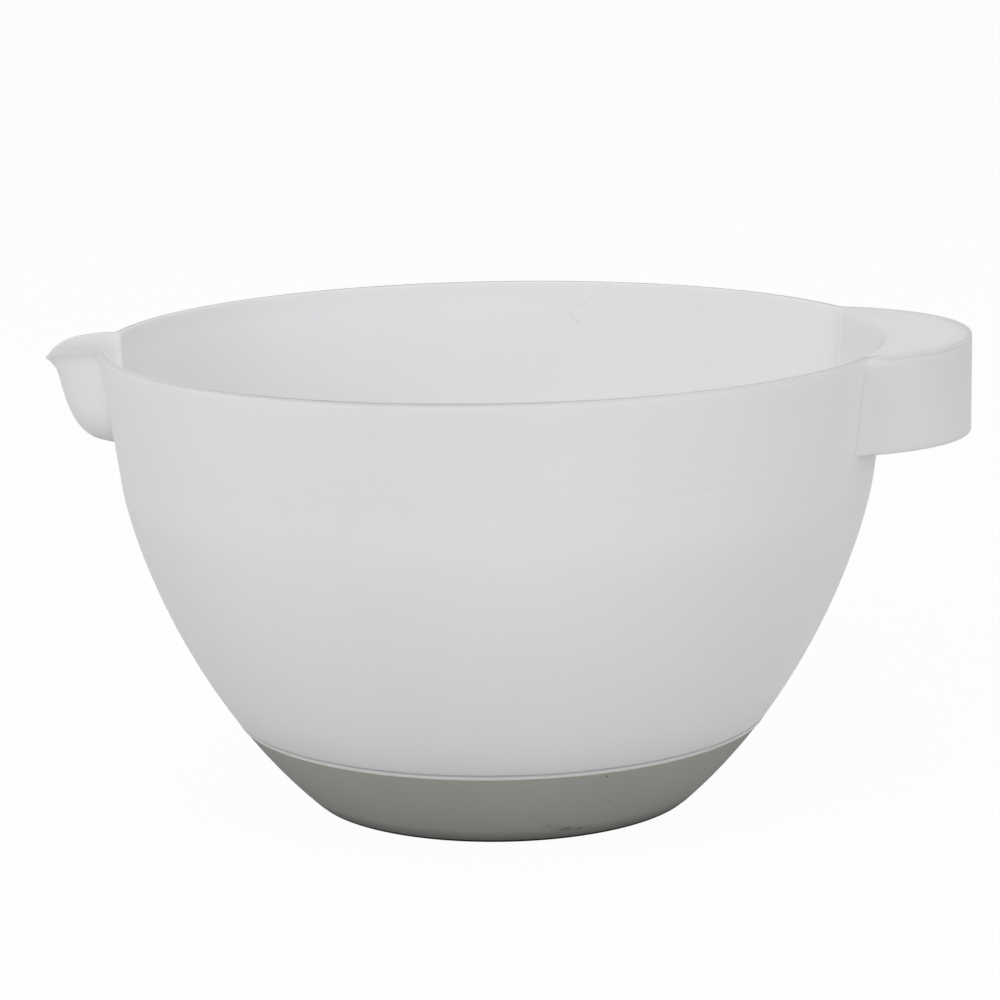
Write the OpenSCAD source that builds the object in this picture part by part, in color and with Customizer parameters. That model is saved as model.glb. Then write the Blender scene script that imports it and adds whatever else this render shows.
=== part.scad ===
// Batter bowl: a translucent moulded bowl with a pouring spout and a hollow lip handle,
// standing in a soft non-slip base. Millimetres, +Z up, origin at the middle of the base's underside.
// The handle points along +X and the spout along -X.

/* [Bowl] */
// Outside diameter of the rim
rim_d = 240; // [200:1:280]
// Height of the rim above the table
bowl_h = 142; // [125:0.2:165]
// Thickness of the moulded wall
wall_t = 2.2; // [1.6:0.1:3]
// Thickness of the bowl's floor
floor_t = 2.6; // [2:0.1:4]
// Height of the straight band below the rim
band_h = 42; // [30:1:48]
// Lean of the straight band from upright, in degrees
band_lean = 7.5; // [3:0.5:9]
// Radius that the side curve has at table level
foot_r = 58.8; // [54:0.2:68]
// Slope of the side curve at table level, in degrees
foot_slope = 42.5; // [38:0.5:50]
// How far the side curve follows the foot's slope
foot_pull = 53; // [35:1:60]
// How far the side curve follows the band's lean
band_pull = 14; // [12:1:35]
// Width of the bevel along the rim's two edges
rim_bevel = 0.4; // [0.2:0.1:0.8]
// Radius of the bead above the base
bead_r = 0.8; // [0.5:0.1:1.2]
// Length of the rounding between floor and side
floor_round = 10; // [4:0.5:16]

/* [Spout] */
// Distance from the rim in to the spout's upright axis
spout_inset = 2; // [0:0.5:6]
// Radius of the pouring lip around that axis
lip_r = 19.2; // [17:0.2:23]
// Depth of the lip's tip below the rim
lip_drop = 4.2; // [3:0.2:6]
// Thickness of the lip's edge at the tip
lip_edge = 0.7; // [0.4:0.1:1.2]
// Slope of the lip's underside at the tip, in degrees
lip_slope = 37; // [25:1:45]
// Distance from the spout's axis to where the lip starts to fall
lip_start = 9.5; // [6:0.5:12]
// Radius of the lip's fall, seen from the side
lip_curve_r = 16; // [14:1:30]
// Radius of the belly under the lip
belly_r = 14.8; // [13:0.2:17]
// Depth below the rim where the belly is widest
belly_top = 10.5; // [9:0.5:13]
// Depth of the whole spout below the rim
spout_depth = 31; // [26:0.5:36]

/* [Handle] */
// How far the handle reaches past the rim
handle_reach = 24; // [18:0.5:32]
// Outside radius of the handle
handle_r = 54.5; // [48:0.5:62]
// Height of the handle's skirt
handle_h = 29.5; // [22:0.5:36]
// Thickness of the handle's plate and skirt
handle_t = 2.2; // [1.6:0.1:2.8]
// Rounding of the handle's upper edge
handle_round = 2; // [1:0.2:4]
// Width of the bevel along the skirt's lower edges
skirt_bevel = 0.4; // [0.2:0.1:0.7]

/* [Base] */
// Height of the base
base_h = 25.5; // [20:0.5:32]
// Thickness of the base's side
base_side_t = 2.6; // [2:0.1:3.5]
// Thickness of the base's floor
base_floor_t = 4; // [3.2:0.2:6]
// Height of the rounding at the base's lower edge
base_round_h = 0.8; // [0.4:0.2:3]
// Radius of the ring under the bowl that keys into the base
key_r = 40; // [25:1:48]
// Width of the key ring
key_w = 3; // [2:0.2:5]
// Depth of the key ring
key_h = 2; // [1:0.2:2.6]
// Clearance between the bowl and the base's upright faces
seat_gap = 0.1; // [0.05:0.05:0.2]

/* [Hidden] */

// Facets of a full turn
$fn = 128;
// How far a cut runs past the face that it opens
overrun = 1;
// Stretches in the bowl's side, in the spout's belly and in a rounding
side_steps = 24;
belly_steps = 12;
round_steps = 6;

rim_r = rim_d / 2;
band_r = rim_r - band_h * tan(band_lean);
band_z = bowl_h - band_h;
// Outline of the side from table level up to the straight band, as radius and height
side = [
    [foot_r, 0],
    [foot_r, 0] + foot_pull * [cos(foot_slope), sin(foot_slope)],
    [band_r, band_z] - band_pull * [sin(band_lean), cos(band_lean)],
    [band_r, band_z]
];
// Depth of the rebate in the bowl's foot that the base fills
rebate = base_side_t + seat_gap;
// Height over which the bowl's inner face eases in above the rebate
ease_h = band_h / 2;
floor_z = base_floor_t + floor_t;
key_z = base_floor_t - key_h;
spout_x = rim_r - spout_inset;
handle_x = rim_r + handle_reach - handle_r;

// Point at share t of a curve with four control points
function curve_at(c, t) =
    pow(1 - t, 3) * c[0] + 3 * pow(1 - t, 2) * t * c[1] + 3 * (1 - t) * t * t * c[2] + pow(t, 3) * c[3];

// Unit vector along the curve
function along(c, t) =
    let (v = pow(1 - t, 2) * (c[1] - c[0]) + 2 * (1 - t) * t * (c[2] - c[1]) + t * t * (c[3] - c[2]))
    v / norm(v);

// Point a depth inside the curve
function inset_at(c, t, depth) =
    let (v = along(c, t))
    curve_at(c, t) + depth * [-v[1], v[0]];

// Depth of the bowl's inner face at share t of its side
function lining(t) =
    let (x = max(0, min(1, (curve_at(side, t)[1] - base_h) / ease_h)))
    wall_t + rebate * (1 - x * x * (3 - 2 * x));

// Point of the bowl's inner face at share t of its side
function lining_at(t) = inset_at(side, t, lining(t));

// Share of the side at which its inset reaches height z, by halving
function inset_share(depth, z, low = 0, high = 1, left = 30) =
    let (mid = (low + high) / 2)
    left == 0 ? mid
    : inset_at(side, mid, depth)[1] < z ? inset_share(depth, z, mid, high, left - 1)
    : inset_share(depth, z, low, mid, left - 1);

// Share of the side at which the bowl's inner face reaches height z, by halving
function lining_share(z, low = 0, high = 1, left = 30) =
    let (mid = (low + high) / 2)
    left == 0 ? mid
    : lining_at(mid)[1] < z ? lining_share(z, mid, high, left - 1)
    : lining_share(z, low, mid, left - 1);

// Points of the side's inset, from share t0 to share t1
function inset_run(depth, t0, t1, steps) =
    [for (i = [0 : steps]) inset_at(side, t0 + (t1 - t0) * i / steps, depth)];

// Points of a rounding from a to b that bends towards corner k
function bend(a, k, b) =
    [for (i = [0 : round_steps]) let (t = i / round_steps) pow(1 - t, 2) * a + 2 * t * (1 - t) * k + t * t * b];

// Points of an arc of radius r about c
function arc(c, r, a0, a1, steps) =
    [for (i = [0 : steps]) let (a = a0 + (a1 - a0) * i / steps) c + r * [cos(a), sin(a)]];

// Points of a rounding between the level z and a point b, where the outline runs along v
function foot_bend(z, b, v) =
    let (k = [b[0] - (b[1] - z) * v[0] / v[1], z])
    bend([k[0] - norm(b - k), z], k, b);

// Outer face of the bowl, from the key ring under its floor up to the rim
module bowl_outline() {
    seat_share = inset_share(rebate, base_floor_t);
    rebate_share = inset_share(rebate, base_h);
    bead_share = inset_share(0, base_h + bead_r);
    crease_share = inset_share(0, base_h + 2 * bead_r);
    bead_along = along(side, bead_share);
    polygon(concat(
        [[0, base_floor_t]],
        [[key_r - key_w / 2, base_floor_t], [key_r - key_w / 2, key_z + seat_gap]],
        [[key_r + key_w / 2, key_z + seat_gap], [key_r + key_w / 2, base_floor_t]],
        inset_run(rebate, seat_share, rebate_share, round_steps),
        arc(curve_at(side, bead_share), bead_r, -90, atan2(bead_along[0], bead_along[1]), round_steps),
        inset_run(0, crease_share, 1, side_steps),
        [[rim_r - rim_bevel * tan(band_lean), bowl_h - rim_bevel], [rim_r - rim_bevel, bowl_h]],
        [[0, bowl_h]]
    ));
}

// Inner face of the bowl, from the middle of its floor to above the rim
module bowl_cavity() {
    start = lining_share(floor_z + floor_round * sin(foot_slope));
    mouth_r = rim_r - wall_t / cos(band_lean) - rim_bevel * tan(band_lean);
    polygon(concat(
        [[0, floor_z]],
        foot_bend(floor_z, lining_at(start), along(side, start)),
        [for (i = [1 : side_steps]) lining_at(start + (1 - start) * i / side_steps)],
        [[mouth_r, bowl_h - rim_bevel], [mouth_r + rim_bevel + overrun, bowl_h + overrun]],
        [[0, bowl_h + overrun]]
    ));
}

// Outline of the spout about its own axis, a depth inside its outer face, up to height top_z
module spout_outline(depth, top_z) {
    belly = [belly_r - depth, spout_depth - belly_top - depth];
    tip = [lip_r - depth * sin(lip_slope), bowl_h - lip_drop - lip_edge + depth * cos(lip_slope)];
    root = [belly[0], bowl_h - belly_top];
    corner = [belly[0], tip[1] - (tip[0] - belly[0]) * tan(lip_slope)];
    polygon(concat(
        [for (i = [0 : belly_steps - 1]) let (a = 90 * i / belly_steps)
            root + [(sin(a) - 1) * belly[0], -cos(a) * belly[1]]],
        bend(root, corner, tip),
        [[tip[0], top_z], [0, top_z]]
    ));
}

// What is taken off above the falling lip
module lip_fall() {
    lip_end = [lip_r, -lip_drop];
    lip_begin = [lip_start, 0];
    chord = lip_end - lip_begin;
    reach = sqrt(pow(lip_curve_r, 2) - pow(norm(chord) / 2, 2));
    centre = (lip_begin + lip_end) / 2 + reach * [chord[1], -chord[0]] / norm(chord);
    width = 2 * (lip_r + overrun);
    translate([-spout_x, 0, bowl_h])
    rotate([90, 0, 180])
    difference() {
        translate([centre[0], -lip_r, -width / 2]) cube([lip_r + overrun, lip_r + overrun, width]);
        translate([centre[0], centre[1], -width]) cylinder(r = lip_curve_r, h = 2 * width);
    }
}

// Plate and skirt of the handle, still running on into the bowl
module handle_shell() {
    inner_r = handle_r - handle_t;
    plate_z = bowl_h - handle_t;
    skirt_z = bowl_h - handle_h;
    translate([handle_x, 0, 0])
    rotate_extrude()
    polygon(concat(
        [[0, plate_z], [inner_r - handle_t / 2, plate_z], [inner_r, plate_z - handle_t / 2]],
        [[inner_r, skirt_z + skirt_bevel], [inner_r + skirt_bevel, skirt_z]],
        [[handle_r - skirt_bevel, skirt_z], [handle_r, skirt_z + skirt_bevel]],
        arc([handle_r - handle_round, bowl_h - handle_round], handle_round, 0, 90, round_steps),
        [[0, bowl_h]]
    ));
}

// The moulded bowl: wall, floor, spout and handle in one piece
module bowl() {
    color("ghostwhite")
    difference() {
        union() {
            rotate_extrude() bowl_outline();
            translate([-spout_x, 0, 0]) rotate_extrude() spout_outline(0, bowl_h);
            handle_shell();
        }
        rotate_extrude() bowl_cavity();
        translate([-spout_x, 0, 0]) rotate_extrude() spout_outline(wall_t, bowl_h + overrun);
        lip_fall();
    }
}

// The soft base: a cup that fills the rebate in the bowl's foot and grips its key ring
module base() {
    round_share = inset_share(0, base_round_h);
    top_share = inset_share(0, base_h);
    seat_share = inset_share(base_side_t, base_floor_t);
    edge_share = inset_share(base_side_t, base_h);
    groove = [key_r - key_w / 2 - seat_gap, key_r + key_w / 2 + seat_gap];
    color("darkseagreen")
    rotate_extrude()
    polygon(concat(
        [[0, 0]],
        foot_bend(0, curve_at(side, round_share), along(side, round_share)),
        [for (i = [1 : round_steps])
            curve_at(side, round_share + (top_share - round_share) * i / round_steps)],
        inset_run(base_side_t, edge_share, seat_share, round_steps),
        [[groove[1], base_floor_t], [groove[1], key_z], [groove[0], key_z], [groove[0], base_floor_t]],
        [[0, base_floor_t]]
    ));
}

bowl();
base();
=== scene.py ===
import math

import bmesh
import bpy
import numpy as np
from mathutils import Euler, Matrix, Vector


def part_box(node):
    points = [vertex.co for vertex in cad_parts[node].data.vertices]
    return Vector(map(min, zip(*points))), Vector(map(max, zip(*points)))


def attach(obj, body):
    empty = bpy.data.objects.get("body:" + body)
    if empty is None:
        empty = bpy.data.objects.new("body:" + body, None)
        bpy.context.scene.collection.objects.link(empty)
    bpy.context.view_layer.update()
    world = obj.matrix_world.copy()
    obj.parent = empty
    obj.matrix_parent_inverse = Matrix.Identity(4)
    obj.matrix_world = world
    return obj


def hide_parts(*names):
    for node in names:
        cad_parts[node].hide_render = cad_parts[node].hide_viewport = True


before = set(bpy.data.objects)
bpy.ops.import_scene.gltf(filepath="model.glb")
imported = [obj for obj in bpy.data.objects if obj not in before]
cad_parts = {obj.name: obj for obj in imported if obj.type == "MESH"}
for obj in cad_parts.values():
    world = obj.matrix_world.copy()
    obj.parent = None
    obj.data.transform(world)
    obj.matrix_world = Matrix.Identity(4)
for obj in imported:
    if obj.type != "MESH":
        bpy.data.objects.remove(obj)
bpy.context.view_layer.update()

# The bowl: one milky polypropylene moulding, with its side, rim, pouring spout and hollow lip handle
# all from one shot. The handle is a flat plate level with the rim, with a skirt hanging round it that
# stays open underneath for the fingers. A thin bead runs round the side where the soft base begins.
MM = 0.001
bowl_low, bowl_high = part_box("bowl")
base_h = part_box("base")[1].z
rim_r = bowl_high.y
bowl_h = bowl_high.z
wall_t = 2.2 * MM
floor_t = 2.6 * MM
base_floor_t = 4 * MM
rebate = 2.7 * MM
band_h = 42 * MM
band_lean = math.radians(7.5)
band_pull = 14 * MM
foot_r = 58.8 * MM
foot_slope = math.radians(42.5)
foot_pull = 53 * MM
floor_round = 10 * MM
rim_round = 0.3 * MM
side_steps = 240
band_steps = 60


def smooth_step(x):
    """Eases from 0 to 1 as x goes from 0 to 1."""
    x = np.clip(x, 0, 1)
    return x * x * (3 - 2 * x)


def cubic(a, b, c, d, steps):
    """Points along a curve from a to d that pulls towards b and c."""
    t = np.linspace(0, 1, steps)[:, None]
    return (1 - t) ** 3 * a + 3 * (1 - t) ** 2 * t * b + 3 * (1 - t) * t ** 2 * c + t ** 3 * d


# Outline of the side as radius and height, with the inner face and the rebate that follow it
foot = np.array([foot_r, 0])
band = np.array([rim_r - band_h * math.tan(band_lean), bowl_h - band_h])
foot_way = np.array([math.cos(foot_slope), math.sin(foot_slope)])
band_way = np.array([math.sin(band_lean), math.cos(band_lean)])
side = np.vstack([
    cubic(foot, foot + foot_pull * foot_way, band - band_pull * band_way, band, side_steps),
    band + np.linspace(0.02, 1.1, band_steps)[:, None] * band_h / math.cos(band_lean) * band_way,
])
side_way = np.gradient(side, axis=0)
side_way /= np.linalg.norm(side_way, axis=1)[:, None]
inward = np.stack([-side_way[:, 1], side_way[:, 0]], 1)
lining_t = wall_t + rebate * (1 - smooth_step((side[:, 1] - base_h) / (band_h / 2)))
lining = side + lining_t[:, None] * inward
seat = side + rebate * inward


# How far out, and how far round, the search for where two outlines meet goes
search_reach = 45 * MM
search_turn = math.radians(50)


def radius_at(outline, z):
    """Radius of an outline at height z."""
    return np.interp(z, outline[:, 1], outline[:, 0])


def disc_gap(r, turn, centre, disc_r, widen, power):
    """How far a point, r out along turn, lies outside a rounded disc that is centred on turn 0."""
    x = np.abs(r * np.cos(turn) - centre)
    y = np.abs(r * np.sin(turn)) * widen
    return (x ** power + y ** power) ** (1 / power) - disc_r


def halve(low, high, is_inside):
    """Where is_inside changes from true to false between low and high."""
    for _ in range(32):
        middle = (low + high) / 2
        inside = is_inside(middle)
        low = np.where(inside, middle, low)
        high = np.where(inside, high, middle)
    return low


def joined_r(wall_r, turn, centre, disc_r, widen, power, corner):
    """Radius of the bowl's round outline joined with such a disc, with its inner corners rounded."""
    def is_inside(r):
        wall_gap = r - wall_r
        gap = disc_gap(r, turn, centre, disc_r, widen, power)
        near = np.maximum(corner - np.abs(wall_gap - gap), 0)
        return np.minimum(wall_gap, gap) - near ** 2 / (4 * corner) < 0
    start = wall_r + 0 * turn
    return halve(start, start + search_reach, is_inside)


# The spout is a belly round an upright axis that opens into a lip, and the lip falls towards its tip
spout_centre = rim_r - 2 * MM
lip_r = -bowl_low.x - spout_centre
lip_round = 0.25 * MM
lip_drop = 4.5 * MM
lip_ease = 1.3 * MM
lip_curl = 9
lip_blend = 10 * MM
spout_depth = 30.5 * MM
spout_corner = 1.6 * MM
spout_power = 2.1
spout_blend = 3 * MM
least_r = 0.01 * MM
neck_steps = 24
belly_steps = 48

lip = np.array([lip_r, 0.2 * MM])
lip_pull = np.array([16.9, 1.5]) * MM
neck_pull = np.array([16.5, 5]) * MM
neck = np.array([15.9, 7.6]) * MM
belly_pull = np.array([14.3, 13.5]) * MM
keel_pull = np.array([12.6 * MM, spout_depth])
keel = np.array([0, spout_depth])
spout_profile = np.vstack([
    cubic(lip, lip_pull, neck_pull, neck, neck_steps),
    cubic(neck, belly_pull, keel_pull, keel, belly_steps)[1:],
])


def lip_fall(r):
    """How far the lip lies below the rim, at radius r of the bowl all round."""
    share = np.clip((-r * np.cos(turn) - spout_centre) / lip_r, 0, 1)
    return lip_ease * share ** 2 + (lip_drop - lip_ease) * share ** lip_curl


# The handle is a rounded disc with its centre inside the bowl, hollow from below, its sides leaning in
handle_r = 54.5 * MM
handle_centre = bowl_high.x - handle_r
handle_side_top = 53.8 * MM
handle_side_low = 50 * MM
handle_power = 2.15
handle_h = 29.5 * MM
handle_t = 2.2 * MM
handle_round = 0.3 * MM
handle_corner = 0.8 * MM
plate_round = 1.5 * MM
skirt_edge = 0.5 * MM
skirt_z = bowl_h - handle_h
plate_z = bowl_h - handle_t
skirt_inner_r = handle_r - handle_t


def handle_widen(depth):
    """How much narrower than long the handle's outline is, a depth below the rim."""
    return handle_r / (handle_side_top + (handle_side_low - handle_side_top) * depth / handle_h)


def handle_gap(r, turn, z, disc_r):
    """How far a point, r out along turn at height z, lies outside the handle's disc of that radius."""
    return disc_gap(r, turn, handle_centre, disc_r, handle_widen(bowl_h - z), handle_power)


def end_turn(z, disc_r):
    """Turn at which the handle's disc of that radius meets the bowl's outer face at height z."""
    wall_r = radius_at(side, z)
    return halve(0 * z, 0 * z + search_turn, lambda turn: handle_gap(wall_r, turn, z, disc_r) < 0)


# Turns of the mesh's upright lines, close together at the handle's ends and round the spout
low_edge = np.array([skirt_z])
pocket_end = float(end_turn(low_edge, skirt_inner_r)[0])
handle_end = float(end_turn(low_edge, handle_r + handle_corner)[0]) + math.radians(1)
spout_start = math.pi - math.radians(15)
pocket_steps = 44
pocket_crowding = 1.5
corner_steps = 18
wall_steps = 65
spout_steps = 79
half = np.concatenate([
    pocket_end * (1 - np.linspace(1, 0, pocket_steps + 1)[:-1] ** pocket_crowding),
    np.linspace(pocket_end, handle_end, corner_steps + 1)[:-1],
    np.linspace(handle_end, spout_start, wall_steps + 1)[:-1],
    np.linspace(spout_start, math.pi, spout_steps + 1),
])
turn = np.concatenate([half, -half[-2:0:-1]])
lines = len(turn)
level = np.zeros(lines)
from_spout = np.abs(turn) - math.pi


def face_r(z, depth, inside):
    """Radius all round of the outer or inner face at height z, where depth is measured from the lip."""
    wall_r = radius_at(lining if inside else side, z)
    disc_r = np.interp(depth, spout_profile[:, 1], spout_profile[:, 0]) - (wall_t if inside else 0)
    disc_r = np.maximum(disc_r, least_r)
    return joined_r(wall_r, from_spout, spout_centre, disc_r, 1, spout_power, spout_corner)


def with_handle(r, depth):
    """The same radius where the handle's skirt is joined on."""
    return joined_r(r, turn, handle_centre, handle_r, handle_widen(depth), handle_power, handle_corner)


steepest = 3


def steepness(r):
    """How much longer a step along the ray is than a step square to the outline r."""
    span = np.angle(np.exp(1j * (np.roll(turn, -1) - np.roll(turn, 1))))
    slope = (np.roll(r, -1) - np.roll(r, 1)) / span
    return np.minimum(np.sqrt(1 + (slope / r) ** 2), steepest)


def fallen(depth, fall):
    """Height of a point that lies a depth below the lip's edge."""
    return bowl_h - depth - fall * (1 - smooth_step(depth / lip_blend))


def joint_line(z, disc_r, width):
    """1 along the upright line where the handle's disc meets the side at height z, fading over width."""
    joint = end_turn(np.array([z]), disc_r)
    return np.exp(-((np.abs(turn) - joint) * rim_r / width) ** 2)


def on_handle(z, disc_r, width):
    """1 between those two lines, 0 outside, changing over width."""
    joint = end_turn(np.array([z]), disc_r)
    return smooth_step((joint - np.abs(turn)) * rim_r / width + 0.5)


def on_spout(r, z, outline):
    """1 where the radius r at height z lies out on the spout, 0 where it lies on the bowl's outline."""
    return smooth_step((r - radius_at(outline, z)) / spout_blend) * (np.cos(turn) < 0)


rings = []
tones = []


def add_ring(r, z, tone=0.0):
    """Adds a ring of points; tone is how much painted shade greys the plastic there, or below 0 how much
    painted light whitens it.
    """
    rings.append(np.stack([r * np.cos(turn), r * np.sin(turn), z + level], 1))
    tones.append(tone + level)


# Inner face, from the middle of the floor up to the rim. Painted shade greys the spout's inside and the top
# of the wall, most on the spout's side, and a thin line of painted light shows on each side where the
# handle's skirt meets the wall from behind
middle_share = 0.04
floor_z = base_floor_t + floor_t
round_top = floor_z + floor_round * math.sin(foot_slope)
round_r = float(radius_at(lining, round_top))
corner_r = round_r - (round_top - floor_z) / math.tan(foot_slope)
floor_edge = corner_r - floor_round
for share in np.linspace(middle_share, 1, 5):
    add_ring(floor_edge * share, floor_z)
for t in np.linspace(0, 1, 9)[1:-1]:
    add_ring((1 - t) ** 2 * floor_edge + 2 * t * (1 - t) * corner_r + t * t * round_r,
             floor_z + t * t * (round_top - floor_z))
top_in = face_r(bowl_h + level, level, True)
top_out = face_r(bowl_h + level, level, False)
fall_in = lip_fall(top_in)
fall_out = lip_fall(top_out)
plate_blend = 6 * MM
tip_blend = 4 * MM
on_plate = smooth_step((with_handle(top_out, level) - top_out) / plate_blend)
on_lip = smooth_step((top_out - rim_r) / tip_blend) * (np.cos(turn) < 0)
edge_round = rim_round + (lip_round - rim_round) * on_lip
round_in = edge_round + (plate_round - edge_round) * on_plate
round_out = edge_round + (handle_round - edge_round) * on_plate
below_spout = 3 * MM
deep = spout_depth + below_spout
for z in np.linspace(round_top, bowl_h - deep, 27)[:-1]:
    add_ring(face_r(z + level, bowl_h - z + level, True), z)
web_share = 1.4
web_r = handle_r - web_share * handle_t
web_draft = 0.15
web_w = 0.7 * MM
web_fade = 4 * MM
inner_shade_most = 0.07
top_swing = 0.8
top_fade = 9 * MM
channel_shade = 0.28
keel_share = 0.8
keel_shares = np.linspace(1, keel_share, 28)[:-1]
for share in np.concatenate([keel_shares, np.linspace(keel_share, 0, 30)]):
    depth = round_in + (deep - round_in) * share
    z = fallen(depth, fall_in)
    r = face_r(z, depth, True)
    # Painted light along the skirt's joint, painted shade near the rim and in the spout's inside
    web = joint_line(z[0], web_r - web_draft * depth[0], web_w)
    web = web * smooth_step((handle_h - depth) / web_fade)
    top = inner_shade_most * (1 - top_swing * np.cos(turn)) * (1 - smooth_step(depth / top_fade))
    channel = on_spout(r, z, lining)
    add_ring(r, z, top * (1 - channel) + channel_shade * channel - web)

# Over the rim: the inner rounding, the flat top that widens into the handle's plate, the outer rounding.
# Painted shade greys the narrow rim, most on its near and far sides, and greys the plate a little along its
# edges
least_flat = 0.05 * MM
start_in = face_r(fallen(round_in, fall_in), round_in, True)
start_out = with_handle(face_r(fallen(round_out, fall_out), round_out, False), round_out)
flat_in = start_in + round_in * steepness(start_in)
flat_out = np.maximum(start_out - round_out * steepness(start_out), flat_in + least_flat)
low_in = fallen(round_in, fall_in)
low_out = fallen(round_out, fall_out)
# Painted shade on the narrow rim, heaviest on its near and far sides
rim_places = (-0.85, -0.45, -0.1, 0.3, 0.95)
rim_shades = (0.58, 1, 1.1, 0.8, 0.68)
rim_shade = np.interp(np.cos(turn), rim_places, rim_shades)
light_most = 0.45
light_from = -0.9
light_span = 0.5
rim_light = light_most * smooth_step((np.cos(turn) - light_from) / light_span)
inner_share = 0.3
flat_start = 0.4
plate_w = flat_out - flat_in
# Painted shade along the plate's edges
plate_inner_shade = 0.1
plate_shade_line = 0.2
plate_middle_shade = 0.04
plate_outer_shade = 0.28
plate_fade = 6 * MM
for a in np.linspace(0, math.pi / 2, 7)[1:]:
    edge = inner_share * rim_shade * math.sin(a) ** 4
    plate = plate_inner_shade * math.sin(a) + plate_shade_line * math.sin(2 * a)
    add_ring(start_in + (flat_in - start_in) * (1 - math.cos(a)), low_in + round_in * math.sin(a),
             edge + (plate - edge) * on_plate)
for share in np.linspace(0, 1, 14)[1:-1]:
    z = low_in + round_in + (low_out + round_out - low_in - round_in) * share
    plate = plate_inner_shade + (plate_middle_shade - plate_inner_shade) * smooth_step(plate_w * share / plate_fade)
    plate = plate + plate_outer_shade * (1 - smooth_step(plate_w * (1 - share) / plate_fade))
    edge = rim_shade * (flat_start + (1 - flat_start) * smooth_step(share / flat_start))
    add_ring(flat_in + plate_w * share, z, edge + (plate - edge) * on_plate)
for a in np.linspace(math.pi / 2, 0, 7):
    add_ring(flat_out + (start_out - flat_out) * math.cos(a), low_out + round_out * math.sin(a),
             rim_shade * (1 - rim_light * math.cos(a)))

# Outer face down to the lower edge of the skirt. Painted light whitens the skirt, where light would reach
# it from behind, and the spout's belly and neck; painted shade greys the side just under the rim and along
# the crease where the skirt meets it
rim_fade = (0.5 + 1.8 * on_plate) * MM
# Painted shade just under the rim and along the skirt's crease
under_rim_shade = 0.5
crease_shade = 0.45
crease_w = 0.9 * MM
crease_fade = 8 * MM
# Painted light on the skirt and on the spout's belly and neck
skirt_light = -0.95
skirt_blend = 2 * MM
skirt_fade = 9 * MM
belly_light = -1
belly_top = 9 * MM
belly_fade = 12 * MM
neck_light = -0.7
neck_top = 4 * MM
neck_fade = 8 * MM
rim_crowding = 1.7
for share in np.linspace(0, 1, 44)[1:] ** rim_crowding:
    depth = round_out + (handle_h - skirt_edge - round_out) * share
    z = fallen(depth, fall_out)
    r = face_r(z, depth, False)
    # Painted shade under the rim and down the crease
    edge = under_rim_shade * rim_shade * (1 - smooth_step((depth - round_out) / rim_fade))
    crease = crease_shade * joint_line(z[0], handle_r, crease_w) * smooth_step(depth / crease_fade)
    # Painted light on the skirt and the spout
    painted_light = skirt_light * on_handle(z[0], handle_r, skirt_blend) * smooth_step(depth / skirt_fade)
    belly = belly_light * smooth_step((depth - belly_top) / belly_fade)
    belly = belly + neck_light * (1 - smooth_step((depth - neck_top) / neck_fade))
    painted_light = painted_light + belly * on_spout(r, z, side)
    add_ring(with_handle(r, depth), z, edge + crease + painted_light * (1 - edge))
wall_low = face_r(skirt_z + level, handle_h + level, False)
skirt_low = with_handle(wall_low, handle_h)
edge_in = np.minimum(skirt_edge, (skirt_low - wall_low) / 3)
# Painted light on the skirt's lower rounding too
for a in np.linspace(0, math.pi / 2, 5)[1:]:
    add_ring(skirt_low - edge_in * (1 - math.cos(a)), skirt_z + skirt_edge * (1 - math.sin(a)),
             skirt_light * on_handle(skirt_z, handle_r, skirt_blend))
skirt_ring = len(rings) - 1

# Outer face below the skirt, down to the groove over the bead. Painted shade greys the wall faintly towards
# the groove and deeply in it
bead_h = 1.5 * MM
bead_out = 0.22 * MM
groove_h = 0.5 * MM
groove_d = 0.35 * MM
groove_shade = 0.65
bead_highlight = -1
bead_start = 0.12
bead_span = 0.75
# Painted shade towards the groove and in it
low_wall_shade_h = 12 * MM
low_wall_shade = 0.05
wall_crowding = 1.4
add_ring(wall_low, skirt_z)
wall_ring = len(rings) - 1
bead_top = base_h + bead_h
groove_top = bead_top + groove_h
for z in skirt_z + (groove_top - skirt_z) * np.linspace(0, 1, 38)[1:] ** wall_crowding:
    add_ring(face_r(z + level, bowl_h - z + level, False), z,
             low_wall_shade * float(1 - smooth_step((z - groove_top) / low_wall_shade_h)))
# Painted shade in the groove
for share in np.linspace(0, 1, 6)[1:]:
    z = groove_top - groove_h * share
    add_ring(radius_at(side, z) - groove_d * smooth_step(share), z, low_wall_shade + (groove_shade - low_wall_shade) * share)
# The bead turns from the groove's painted shade to a painted highlight towards its lower edge
for share in np.linspace(0, 1, 13)[1:]:
    z = bead_top - bead_h * share
    swell = (bead_out + groove_d) * math.sin(share * math.pi / 2) - groove_d
    pale = float(smooth_step((share - bead_start) / bead_span))
    add_ring(radius_at(side, z) + swell, z, groove_shade + (bead_highlight - groove_shade) * pale)

# The rebate that the base fills, and the underside
for z in np.linspace(base_h, base_floor_t, 6):
    add_ring(radius_at(seat, z), z)
for share in (0.7, 0.4, middle_share):
    add_ring(radius_at(seat, base_floor_t) * share, base_floor_t)

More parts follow.
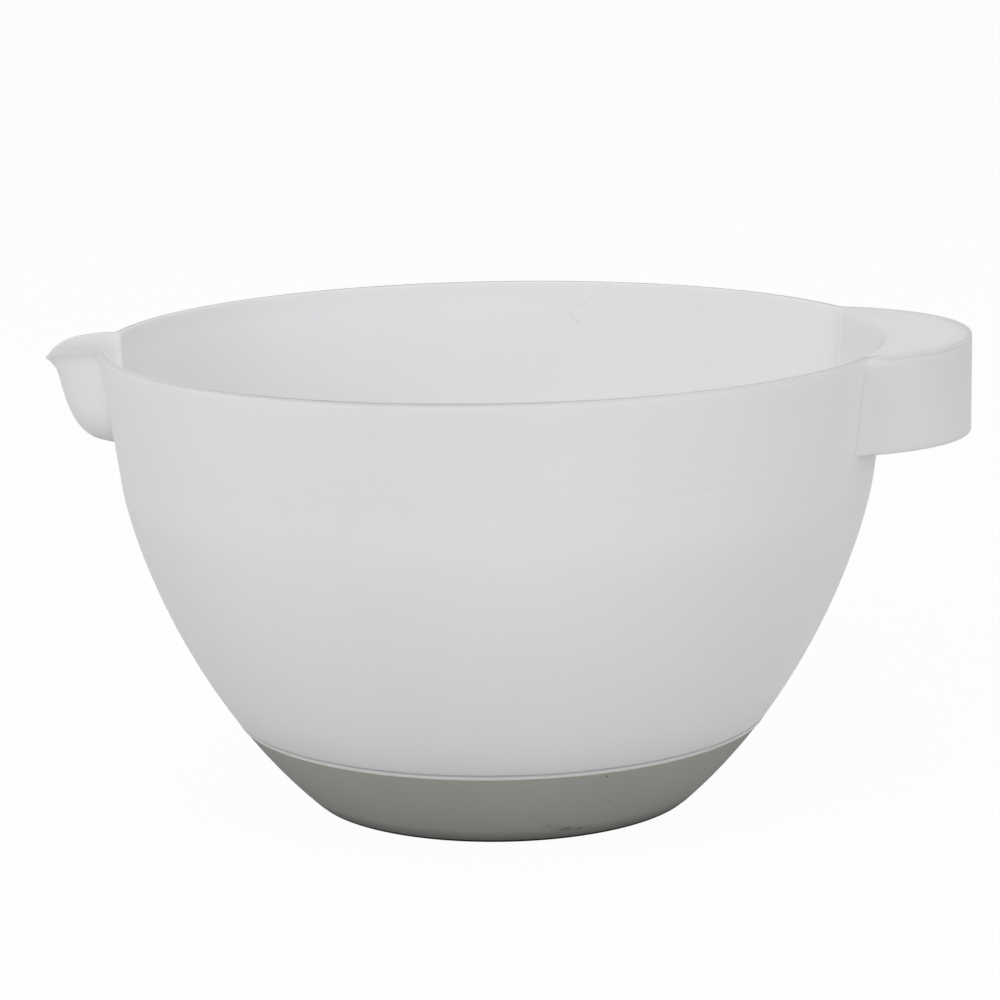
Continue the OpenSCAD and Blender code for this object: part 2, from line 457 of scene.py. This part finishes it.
# The hollow under the plate: up the skirt's inner face, in under the plate and down the bowl's side
pocket_lines = np.arange(-pocket_steps, pocket_steps + 1) % lines
rise = np.linspace(skirt_z, plate_z, 16)
pocket_turn = (turn[pocket_lines] / pocket_end)[None, :] * end_turn(rise, skirt_inner_r)[:, None]
pocket_wall = radius_at(side, rise)[:, None] + 0 * pocket_turn
pocket_skirt = halve(pocket_wall, pocket_wall + search_reach,
                     lambda r: handle_gap(r, pocket_turn, rise[:, None], skirt_inner_r) < 0)
pocket_rows = [(pocket_skirt[k], pocket_turn[k], rise[k]) for k in range(len(rise))]
for share in np.linspace(0, 1, 9)[1:-1]:
    under_plate = pocket_skirt[-1] + (pocket_wall[-1] - pocket_skirt[-1]) * share
    pocket_rows.append((under_plate, pocket_turn[-1], plate_z))
pocket_rows += [(pocket_wall[k], pocket_turn[k], rise[k]) for k in range(len(rise) - 1, 0, -1)]

pocket_points = [np.stack([r * np.cos(a), r * np.sin(a), z + 0 * r], 1) for r, a, z in pocket_rows]
middles = np.array([[0, 0, floor_z], [0, 0, base_floor_t]])
points = np.concatenate(rings + pocket_points + [middles])
tone = np.concatenate(tones + [np.zeros(len(points) - len(rings) * lines)])
pocket_first = len(rings) * lines
across = len(pocket_lines)
faces = []


def ring_faces(lower, upper, spans):
    """Joins two rings with faces along the given spans."""
    for i in spans:
        j = (i + 1) % lines
        faces.append((lower * lines + i, lower * lines + j, upper * lines + j, upper * lines + i))


for ring in range(len(rings) - 1):
    if ring != skirt_ring:
        ring_faces(ring, ring + 1, range(lines))
pocket_spans = set(int(i) for i in pocket_lines[:-1])
handle_spans = [i for i in range(lines)
                if min(abs(turn[i]), abs(turn[(i + 1) % lines])) < handle_end - 1e-9]
ring_faces(skirt_ring, wall_ring, [i for i in handle_spans if i not in pocket_spans])
for k in range(across - 1):
    a, b = pocket_lines[k], pocket_lines[k + 1]
    column = [(skirt_ring * lines + a, skirt_ring * lines + b)]
    column += [(pocket_first + row * across + k, pocket_first + row * across + k + 1)
               for row in range(len(pocket_rows))]
    column.append((wall_ring * lines + a, wall_ring * lines + b))
    for lower, upper in zip(column, column[1:]):
        faces.append((lower[0], lower[1], upper[1], upper[0]))
middle_in = len(points) - 2
last = (len(rings) - 1) * lines
for i in range(lines):
    j = (i + 1) % lines
    faces.append((middle_in, j, i))
    faces.append((middle_in + 1, last + i, last + j))


join_gap = 0.002 * MM
sharp_from = math.radians(40)


def make_piece(name, points, faces, tone=None):
    """Mesh object with its doubled points joined, smooth but for its sharp edges."""
    mesh = bpy.data.meshes.new(name)
    mesh.from_pydata([tuple(p) for p in points], [], [tuple(int(i) for i in f) for f in faces])
    if tone is not None:
        mesh.attributes.new("tone", "FLOAT", "POINT").data.foreach_set("value", tone)
    work = bmesh.new()
    work.from_mesh(mesh)
    bmesh.ops.remove_doubles(work, verts=work.verts, dist=join_gap)
    bmesh.ops.dissolve_degenerate(work, edges=work.edges, dist=join_gap / 2)
    bmesh.ops.recalc_face_normals(work, faces=work.faces)
    work.to_mesh(mesh)
    work.free()
    mesh.shade_smooth()
    mesh.set_sharp_from_angle(angle=sharp_from)
    piece = bpy.data.objects.new(name, mesh)
    bpy.context.scene.collection.objects.link(piece)
    return piece


bowl = make_piece("moulded_bowl", points, faces, tone)


def put(tree, kind, inputs=(), **settings):
    """Adds a shader node; inputs gives each socket a value or another node's output."""
    made = tree.nodes.new("ShaderNode" + kind)
    for name, value in settings.items():
        setattr(made, name, value)
    for name, value in dict(inputs).items():
        if isinstance(value, bpy.types.NodeSocket):
            tree.links.new(value, made.inputs[name])
        else:
            made.inputs[name].default_value = value
    return made


def new_group(name, inputs, outputs):
    """Shader node group with named inputs and outputs, its inputs' sockets and its outputs' sockets."""
    tree = bpy.data.node_groups.new(name, "ShaderNodeTree")
    for label, value in inputs.items():
        kind = "NodeSocketVector" if isinstance(value, tuple) else "NodeSocketFloat"
        tree.interface.new_socket(label, in_out="INPUT", socket_type=kind).default_value = value
    for label in outputs:
        tree.interface.new_socket(label, in_out="OUTPUT", socket_type="NodeSocketFloat")
    return tree, tree.nodes.new("NodeGroupInput").outputs, tree.nodes.new("NodeGroupOutput").inputs


def new_material(name):
    """Material with an empty node tree."""
    material = bpy.data.materials.new(name)
    material.use_nodes = True
    material.node_tree.nodes.clear()
    return material, material.node_tree


def blend(tree, share, first, second):
    """Colour that goes from first to second as share goes from 0 to 1."""
    return put(tree, "Mix", {0: share, 6: first, 7: second}, data_type="RGBA").outputs[2]


def clouded(tree, cloud, first, second):
    """Colour that drifts between first and second with the clouding."""
    ramp = put(tree, "ValToRGB", {"Fac": cloud})
    for element, position, colour in zip(ramp.color_ramp.elements, (0.3, 0.7), (first, second)):
        element.position = position
        element.color = colour
    return ramp.outputs["Color"]


# Fine grain of the mould and the slow clouding of the plastic, the same on both pieces
moulded_grain, given, gives = new_group(
    "moulded_grain", {"Grain Scale": 1000.0, "Cloud Scale": 20.0}, ("Grain", "Cloud"))
place = put(moulded_grain, "TexCoord").outputs["Object"]
fine = put(moulded_grain, "TexNoise", {"Vector": place, "Scale": given["Grain Scale"], "Detail": 2})
slow = put(moulded_grain, "TexNoise", {"Vector": place, "Scale": given["Cloud Scale"], "Detail": 3})
moulded_grain.links.new(fine.outputs["Fac"], gives["Grain"])
moulded_grain.links.new(slow.outputs["Fac"], gives["Cloud"])

# One stroke of a scratch or scuff along a straight line, rubbed away in patches
stroke, given, gives = new_group(
    "stroke", {"From": (0.0, 0.0, 0.0), "To": (0.0, 0.0, 0.01), "Width": 0.0003, "Patchy": 0.3}, ("Mask",))
place = put(stroke, "TexCoord").outputs["Object"]
away = put(stroke, "VectorMath", {0: place, 1: given["From"]}, operation="SUBTRACT").outputs[0]
run = put(stroke, "VectorMath", {0: given["To"], 1: given["From"]}, operation="SUBTRACT").outputs[0]
ahead = put(stroke, "VectorMath", {0: away, 1: run}, operation="DOT_PRODUCT").outputs["Value"]
whole = put(stroke, "VectorMath", {0: run, 1: run}, operation="DOT_PRODUCT").outputs["Value"]
share = put(stroke, "Math", {0: ahead, 1: whole}, operation="DIVIDE", use_clamp=True).outputs[0]
nearest = put(stroke, "VectorMath", {0: run, "Scale": share}, operation="SCALE").outputs[0]
gap = put(stroke, "VectorMath", {0: away, 1: nearest}, operation="DISTANCE").outputs["Value"]
line = put(stroke, "MapRange", {"Value": gap, "From Min": 0.0, "From Max": given["Width"], "To Min": 1.0,
                                "To Max": 0.0}, interpolation_type="SMOOTHSTEP").outputs[0]
patch = put(stroke, "TexNoise", {"Vector": place, "Scale": 900.0, "Detail": 2}).outputs["Fac"]
rubbed = put(stroke, "MapRange", {"Value": patch, "From Min": 0.35, "From Max": 0.6}).outputs[0]
lost = put(stroke, "Math", {0: rubbed, 1: given["Patchy"]}, operation="MULTIPLY").outputs[0]
kept = put(stroke, "Math", {0: 1.0, 1: lost}, operation="SUBTRACT").outputs[0]
mask = put(stroke, "Math", {0: line, 1: kept}, operation="MULTIPLY").outputs[0]
stroke.links.new(mask, gives["Mask"])


def strokes(tree, marks):
    """Mask of several strokes, each given in millimetres as from, to, width, patchiness and strength."""
    total = 0.0
    for start, end, width, patchy, strength in marks:
        made = put(tree, "Group", {
            "From": Vector(start) * MM, "To": Vector(end) * MM, "Width": width * MM, "Patchy": patchy,
        }, node_tree=stroke).outputs["Mask"]
        total = put(tree, "Math", {0: made, 1: strength, 2: total}, operation="MULTIPLY_ADD").outputs[0]
    return total


milk_dark = (0.871, 0.87, 0.888, 1)
milk_pale = (0.891, 0.89, 0.905, 1)
painted_light_colour = (0.99, 0.922, 0.944, 1)
painted_shade_colour = (0.425, 0.42, 0.425, 1)
scratch_grey = (0.45, 0.46, 0.44, 1)
bowl_plastic, tree = new_material("milky_polypropylene")
surface = put(tree, "Group", {"Grain Scale": 1400, "Cloud Scale": 18}, node_tree=moulded_grain).outputs
milk = clouded(tree, surface["Cloud"], milk_dark, milk_pale)
# Painted light and shade: below 0 the tone attribute whitens the milk towards a pinkish white, above 0 it
# greys it
painted_shade_share = put(tree, "Attribute", attribute_name="tone").outputs["Fac"]
painted_light_share = put(tree, "Math", {0: painted_shade_share, 1: -1.0}, operation="MULTIPLY", use_clamp=True).outputs[0]
painted_light = blend(tree, painted_light_share, milk, painted_light_colour)
with_painted_shade = blend(tree, painted_shade_share, painted_light, painted_shade_colour)
scratches = strokes(tree, [
    ((35.8, 112.1, 141.2), (29.1, 113.4, 136.4), 0.4, 0.9, 0.25),
    ((29.1, 113.4, 136.4), (23.6, 114.3, 133.2), 0.4, 0.7, 0.3),
    ((22.3, 114.3, 131.9), (25.5, 113, 127.9), 0.4, 0.6, 0.3),
    ((-107.4, 46.5, 135.1), (-107, 46.7, 135.1), 0.5, 0.0, 0.2),
])
scratched = blend(tree, scratches, with_painted_shade, scratch_grey)
gloss = put(tree, "MapRange", {"Value": surface["Grain"], "To Min": 0.46, "To Max": 0.56}).outputs[0]
bump = put(tree, "Bump", {"Height": surface["Grain"], "Strength": 0.05, "Distance": 0.1 * MM})
skin = put(tree, "BsdfPrincipled", {
    "Base Color": scratched,
    "Roughness": gloss,
    "IOR": 1.49,
    "Specular IOR Level": 0.25,
    "Subsurface Weight": 1,
    "Subsurface Radius": (1, 1, 1),
    "Subsurface Scale": 3.5 * MM,
    "Normal": bump.outputs["Normal"],
})
put(tree, "OutputMaterial", {"Surface": skin.outputs["BSDF"]})
bowl.data.materials.append(bowl_plastic)
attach(bowl, "root")
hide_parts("bowl")

# The base: a soft grey-green cup of thermoplastic elastomer, moulded on to the rebated foot of the bowl
# so that its outside carries on the bowl's side. It keeps the bowl from sliding while it is stirred.
seam = 0.12 * MM
base_side_t = rebate - 0.1 * MM
foot_edge = 0.25 * MM
top_edge = 0.3 * MM
hub_r = 0.02 * foot_r
half_r = 0.5 * foot_r
cup = side + base_side_t * inward
outline = [(hub_r, 0), (half_r, 0), (foot_r - foot_edge, 0)]
for a in np.linspace(0, math.pi / 2, 7)[1:]:
    outline.append((foot_r - foot_edge * (1 - math.sin(a)), foot_edge * (1 - math.cos(a))))
for z in np.linspace(foot_edge, base_h - seam - top_edge, 30)[1:]:
    outline.append((radius_at(side, z), z))
outline.append((radius_at(side, base_h) - top_edge, base_h - seam))
for z in np.linspace(base_h - seam, base_floor_t - seam, 12):
    outline.append((radius_at(cup, z), z))
outline += [(half_r, base_floor_t - seam), (hub_r, base_floor_t - seam)]
around = 256
base_turn = np.arange(around) * 2 * math.pi / around
base_points = [(r * math.cos(a), r * math.sin(a), z) for r, z in outline for a in base_turn]
base_faces = []
for low in range(0, (len(outline) - 1) * around, around):
    high = low + around
    for i in range(around):
        j = (i + 1) % around
        base_faces.append((low + i, low + j, high + j, high + i))
base_faces += [tuple(range(around)), tuple((len(outline) - 1) * around + i for i in range(around))]
base = make_piece("soft_base", base_points, base_faces)

green_dark = (0.42, 0.434, 0.409, 1)
green_pale = (0.44, 0.454, 0.429, 1)
top_green = (0.4, 0.41, 0.31, 1)
low_shade_grey = (0.15, 0.15, 0.135, 1)
foot_shadow_black = (0.01, 0.01, 0.01, 1)
scuff_black = (0.09, 0.09, 0.08, 1)
tint_low = base_h - 1.1 * MM
tint_high = base_h - 0.2 * MM
low_shade_h = 6 * MM
foot_shadow_low = 0.6 * MM
foot_shadow_high = 1 * MM
base_rubber, tree = new_material("soft_grey_green_elastomer")
surface = put(tree, "Group", {"Grain Scale": 900, "Cloud Scale": 45}, node_tree=moulded_grain).outputs
green = clouded(tree, surface["Cloud"], green_dark, green_pale)
height = put(tree, "SeparateXYZ", {0: put(tree, "TexCoord").outputs["Object"]}).outputs["Z"]
top_tint = put(tree, "MapRange", {"Value": height, "From Min": tint_low, "From Max": tint_high}).outputs[0]
tinted = blend(tree, top_tint, green, top_green)
# Painted shade: the rubber darkens towards the floor
low_shade = put(tree, "MapRange", {
    "Value": height, "From Min": 0.0, "From Max": low_shade_h, "To Min": 0.65, "To Max": 0.0},
    interpolation_type="SMOOTHSTEP").outputs[0]
low_shaded = blend(tree, low_shade, tinted, low_shade_grey)
# Painted shadow: a near-black band along the bottom edge where the base stands on the floor
foot_shadow = put(tree, "MapRange", {
    "Value": height, "From Min": foot_shadow_low, "From Max": foot_shadow_high, "To Min": 0.97, "To Max": 0.0}).outputs[0]
foot_shadowed = blend(tree, foot_shadow, low_shaded, foot_shadow_black)
scuffs = strokes(tree, [
    ((31.9, -73.9, 24.3), (31.9, -73.7, 24.1), 0.5, 0.0, 1.0),
    ((32.3, -65.0, 14.4), (32.4, -64.5, 13.7), 0.4, 0.2, 0.4),
    ((14.5, -63.7, 6.3), (20.9, -59.4, 4.0), 2.2, 0.9, 0.35),
    ((19, -60.6, 4.5), (24, -58.6, 3.9), 1.7, 0.8, 0.4),
    ((22.7, -58.4, 3.7), (26.2, -57.1, 3.9), 1.5, 0.9, 0.45),
    ((9.4, -68.4, 10.2), (11.4, -67.1, 9.2), 2, 0.9, 0.22),
])
scuffed = blend(tree, scuffs, foot_shadowed, scuff_black)
gloss = put(tree, "MapRange", {"Value": surface["Grain"], "To Min": 0.66, "To Max": 0.84}).outputs[0]
bump = put(tree, "Bump", {"Height": surface["Grain"], "Strength": 0.15, "Distance": 0.1 * MM})
skin = put(tree, "BsdfPrincipled", {
    "Base Color": scuffed,
    "Roughness": gloss,
    "Specular IOR Level": 0.02,
    "Normal": bump.outputs["Normal"],
})
put(tree, "OutputMaterial", {"Surface": skin.outputs["BSDF"]})
base.data.materials.append(base_rubber)
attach(base, "root")
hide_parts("base")

# The floor: a plain white sheet of paper that runs on behind the bowl. It lights the bowl from below as
# matt paper does, and is plain white where the camera, a gloss or a clear part sees it.
floor_half = 12
floor_mesh = bpy.data.meshes.new("floor")
floor_mesh.from_pydata(
    [(-floor_half, -floor_half, 0), (floor_half, -floor_half, 0),
     (floor_half, floor_half, 0), (-floor_half, floor_half, 0)], [], [(0, 1, 2, 3)])
floor = bpy.data.objects.new("floor", floor_mesh)
bpy.context.scene.collection.objects.link(floor)
paper, tree = new_material("white_paper")


def seen_directly(tree):
    """1 for a ray that sees a surface straight from the camera, or in a gloss or through a clear part."""
    path = put(tree, "LightPath").outputs
    seen = path["Is Camera Ray"]
    for ray in ("Is Glossy Ray", "Is Transmission Ray"):
        seen = put(tree, "Math", {0: seen, 1: path[ray]}, operation="MAXIMUM").outputs[0]
    return seen


matt = put(tree, "BsdfDiffuse", {"Color": (0.6, 0.6, 0.6, 1)})
pale = put(tree, "BsdfDiffuse", {"Color": (0.95, 0.95, 0.95, 1)})
white = put(tree, "Emission", {"Color": (1, 1, 1, 1), "Strength": 1})
shown = put(tree, "MixShader", {0: 0.96, 1: pale.outputs["BSDF"], 2: white.outputs["Emission"]})
pick = put(tree, "MixShader", {0: seen_directly(tree), 1: matt.outputs["BSDF"], 2: shown.outputs["Shader"]})
put(tree, "OutputMaterial", {"Surface": pick.outputs["Shader"]})
floor.data.materials.append(paper)

# Soft studio light: an even white room, with a large key lamp at the front left and softer lamps in
# front, at both sides and above. The lamp at the right is a touch warm.
world = bpy.data.worlds.new("studio")
bpy.context.scene.world = world
world.use_nodes = True
tree = world.node_tree
tree.nodes.clear()
room = put(tree, "Background", {"Color": (1, 1, 1, 1), "Strength": 0.34})
white = put(tree, "Background", {"Color": (1, 1, 1, 1), "Strength": 1})
pick = put(tree, "MixShader", {0: seen_directly(tree), 1: room.outputs[0], 2: white.outputs[0]})
put(tree, "OutputWorld", {"Surface": pick.outputs["Shader"]})
aim = Vector((0, 0, bowl_h / 2))
for name, spot, size, watts, tint in (
        ("key_lamp", (-0.9, -1.7, 1.3), 1.6, 21.2, (1, 1, 1)),
        ("front_lamp", (0, -2, 0.45), 1.2, 1.5, (1, 1, 1)),
        ("right_lamp", (1.8, -0.7, 0.35), 1, 9.3, (1, 0.98, 0.968)),
        ("left_lamp", (-1.9, 0.5, 0.35), 0.9, 2.1, (1, 1, 1)),
        ("top_lamp", (0, 0, 2.2), 1.6, 9.1, (1, 1, 1))):
    lamp = bpy.data.lights.new(name, "AREA")
    lamp.size = size
    lamp.energy = watts
    lamp.color = tint
    holder = bpy.data.objects.new(name, lamp)
    holder.location = spot
    holder.rotation_euler = (aim - Vector(spot)).to_track_quat("-Z", "Y").to_euler()
    bpy.context.scene.collection.objects.link(holder)

# The camera stands about a metre away, a little above the rim, with a long lens, rolled by one degree.
camera_data = bpy.data.cameras.new("camera")
camera_data.sensor_width = 36
camera_data.lens = 123.42
camera = bpy.data.objects.new("camera", camera_data)
camera.location = Vector((26.97, -1029.88, 302.86)) * MM
camera_aim = Vector((0.51, 0.01, 91.07)) * MM
camera_roll = math.radians(-1.03)
look = (camera_aim - camera.location).to_track_quat("-Z", "Y")
camera.rotation_euler = (look @ Euler((0, 0, camera_roll)).to_quaternion()).to_euler()
bpy.context.scene.collection.objects.link(camera)
bpy.context.scene.camera = camera
bpy.context.scene.view_settings.view_transform = "Standard"
